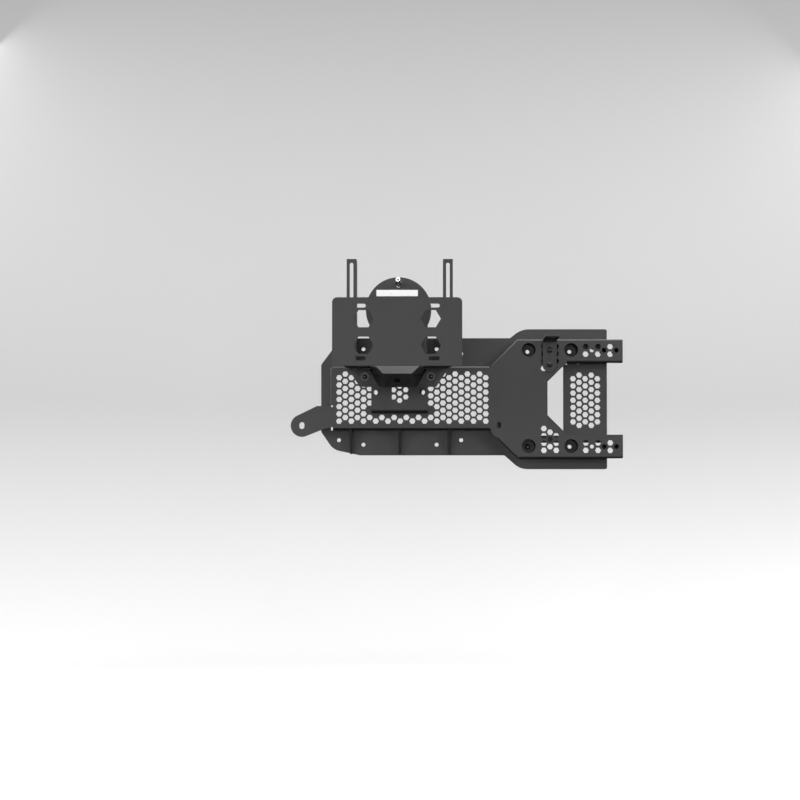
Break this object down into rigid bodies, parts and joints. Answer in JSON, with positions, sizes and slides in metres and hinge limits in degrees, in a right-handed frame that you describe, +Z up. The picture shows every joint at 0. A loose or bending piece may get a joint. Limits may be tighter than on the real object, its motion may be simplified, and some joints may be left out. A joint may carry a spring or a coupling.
{
  "type": "spare tire carrier",
  "caption": "Tailgate-mounted spare tire carrier: perforated bent-steel panel on a base plate, raised wheel disc with studs, number plate holder and slotted uprights.",
  "frame": {"origin": "centre of the inner tailgate bolt rectangle, on the back face of the base plate", "axes": "+X along the tailgate towards its hinges, +Y into the tailgate, +Z up"},
  "size_m": [0.865, 0.334, 0.5475],
  "materials": {
    "black_powder_coat": "satin, finely textured powder coat",
    "bracket_coat": "satin powder coat",
    "black_fastener": "black oxide, slightly shiny",
    "stud_chrome": "bright plating",
    "badge_white": "gloss, blank",
    "housing_plastic": "moulded, fine grain",
    "camera_plastic": "smooth",
    "lens_glass": "polished"
  },
  "bodies": {
    "carrier": {"base_plate": "black_powder_coat", "front_panel": "black_powder_coat", "gusset_left": "black_powder_coat", "gusset_center": "black_powder_coat", "gusset_right": "black_powder_coat", "recess_tube_upper_left": "black_powder_coat", "recess_tube_upper_right": "black_powder_coat", "recess_tube_lower_left": "black_powder_coat", "recess_tube_lower_right": "black_powder_coat", "recess_bolt": "black_fastener", "hinge_cups": "black_powder_coat", "hinge_screws": "black_fastener", "upright_left": "bracket_coat", "upright_right": "bracket_coat", "upright_screws": "black_fastener", "upright_nuts": "black_fastener", "antenna_bracket": "bracket_coat", "antenna_screws": "black_fastener", "antenna_washers": "black_fastener", "antenna_nuts": "black_fastener"},
    "tire_mount": {"mount_base": "black_powder_coat", "mount_back": "black_powder_coat", "lift_bolts": "black_fastener", "lift_nuts": "black_fastener", "hub_column": "black_powder_coat", "wheel_disc": "black_powder_coat", "wheel_studs": "stud_chrome", "post_tube": "black_powder_coat", "post_set_screw": "black_fastener"},
    "plate_carrier": {"post_slider": "bracket_coat", "holder_spine": "bracket_coat", "spine_bolt": "black_fastener", "plate_holder": "bracket_coat", "badge_bracket": "bracket_coat", "badge_plate": "badge_white", "camera_housing": "housing_plastic", "housing_screws": "black_fastener", "housing_washers": "black_fastener", "housing_nuts": "black_fastener", "camera_body": "camera_plastic", "camera_lens": "lens_glass"}
  },
  "joints": [
    {"name": "tire_mount_lift", "type": "slide", "parent": "carrier", "child": "tire_mount", "axis": [0, 0, 1], "range_m": [0, 0.05]},
    {"name": "plate_reach", "type": "slide", "parent": "tire_mount", "child": "plate_carrier", "axis": [0, -1, 0], "range_m": [0, 0.07]}
  ]
}
